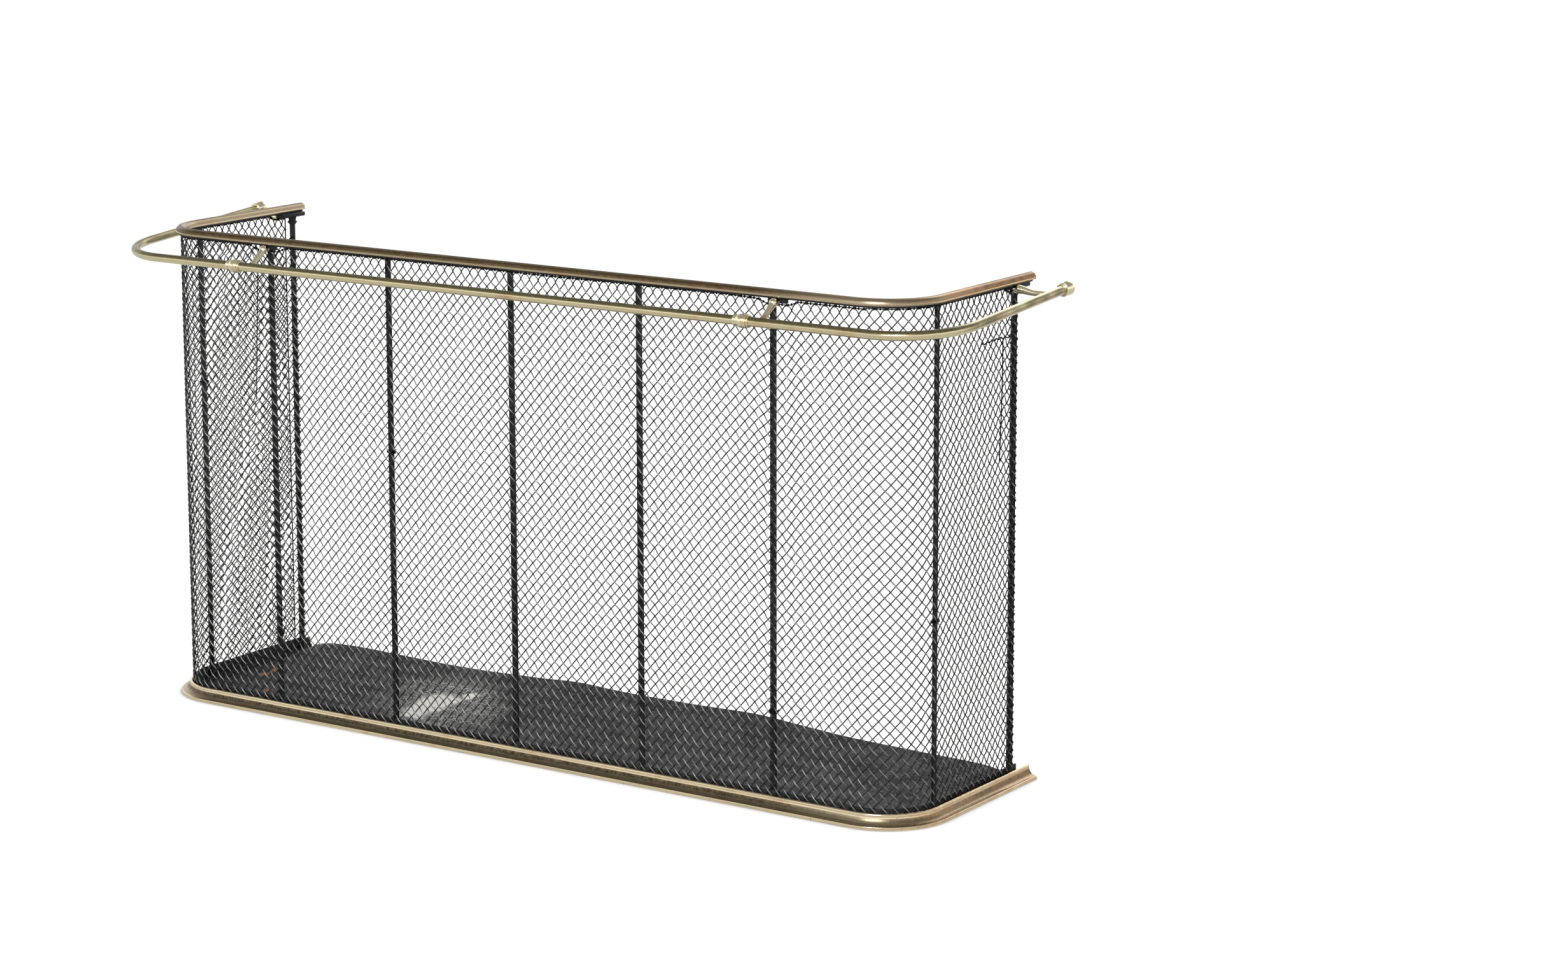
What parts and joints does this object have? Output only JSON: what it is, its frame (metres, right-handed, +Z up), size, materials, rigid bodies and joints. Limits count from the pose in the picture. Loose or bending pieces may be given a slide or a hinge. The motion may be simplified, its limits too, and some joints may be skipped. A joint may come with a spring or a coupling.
{
  "type": "fire fender",
  "caption": "Free-standing hearth fender: a woven wire guard on an iron frame with a brass kerb, cap and outer rail, open at the back.",
  "frame": {"origin": "on the hearth under the middle of the fender's overall box", "axes": "+X along the front to the right, +Y from the front to the open back, +Z up"},
  "size_m": [1.3486, 0.3422, 0.66],
  "materials": {
    "kerb_brass": "aged polished brass",
    "cap_brass": "aged polished brass",
    "rail_brass": "aged polished brass",
    "frame_iron": "blackened",
    "base_iron": "blackened, lightly rusted",
    "floor_iron": "sheet iron, ash-marked",
    "mesh_wire": "dull dark wire"
  },
  "bodies": {
    "root": {"kerb_moulding": "kerb_brass", "base_bar": "base_iron", "floor_plate": "floor_iron", "base_angle": "base_iron", "front_stay_1": "frame_iron", "front_stay_2": "frame_iron", "front_stay_3": "frame_iron", "front_stay_4": "frame_iron", "front_stay_5": "frame_iron", "corner_stay_left": "frame_iron", "corner_stay_right": "frame_iron", "rear_post_left": "frame_iron", "rear_post_right": "frame_iron", "top_strap": "frame_iron", "cap_rail": "cap_brass", "front_block_left": "frame_iron", "front_block_right": "frame_iron", "rear_block_left": "frame_iron", "rear_block_right": "frame_iron", "front_arm_left": "rail_brass", "front_arm_right": "rail_brass", "rear_arm_left": "rail_brass", "rear_arm_right": "rail_brass", "rail_middle": "rail_brass", "rail_left": "rail_brass", "rail_right": "rail_brass", "rail_collar_left": "rail_brass", "rail_collar_right": "rail_brass", "rail_spigot_left": "frame_iron", "rail_spigot_right": "frame_iron", "end_knob_left": "rail_brass", "end_knob_right": "rail_brass", "mesh_front": "mesh_wire", "mesh_corner_left": "mesh_wire", "mesh_corner_right": "mesh_wire", "mesh_left": "mesh_wire", "mesh_right": "mesh_wire", "top_selvedge": "mesh_wire", "rear_selvedges": "mesh_wire", "stay_rivets": "base_iron", "floor_rivets": "base_iron"}
  },
  "joints": []
}
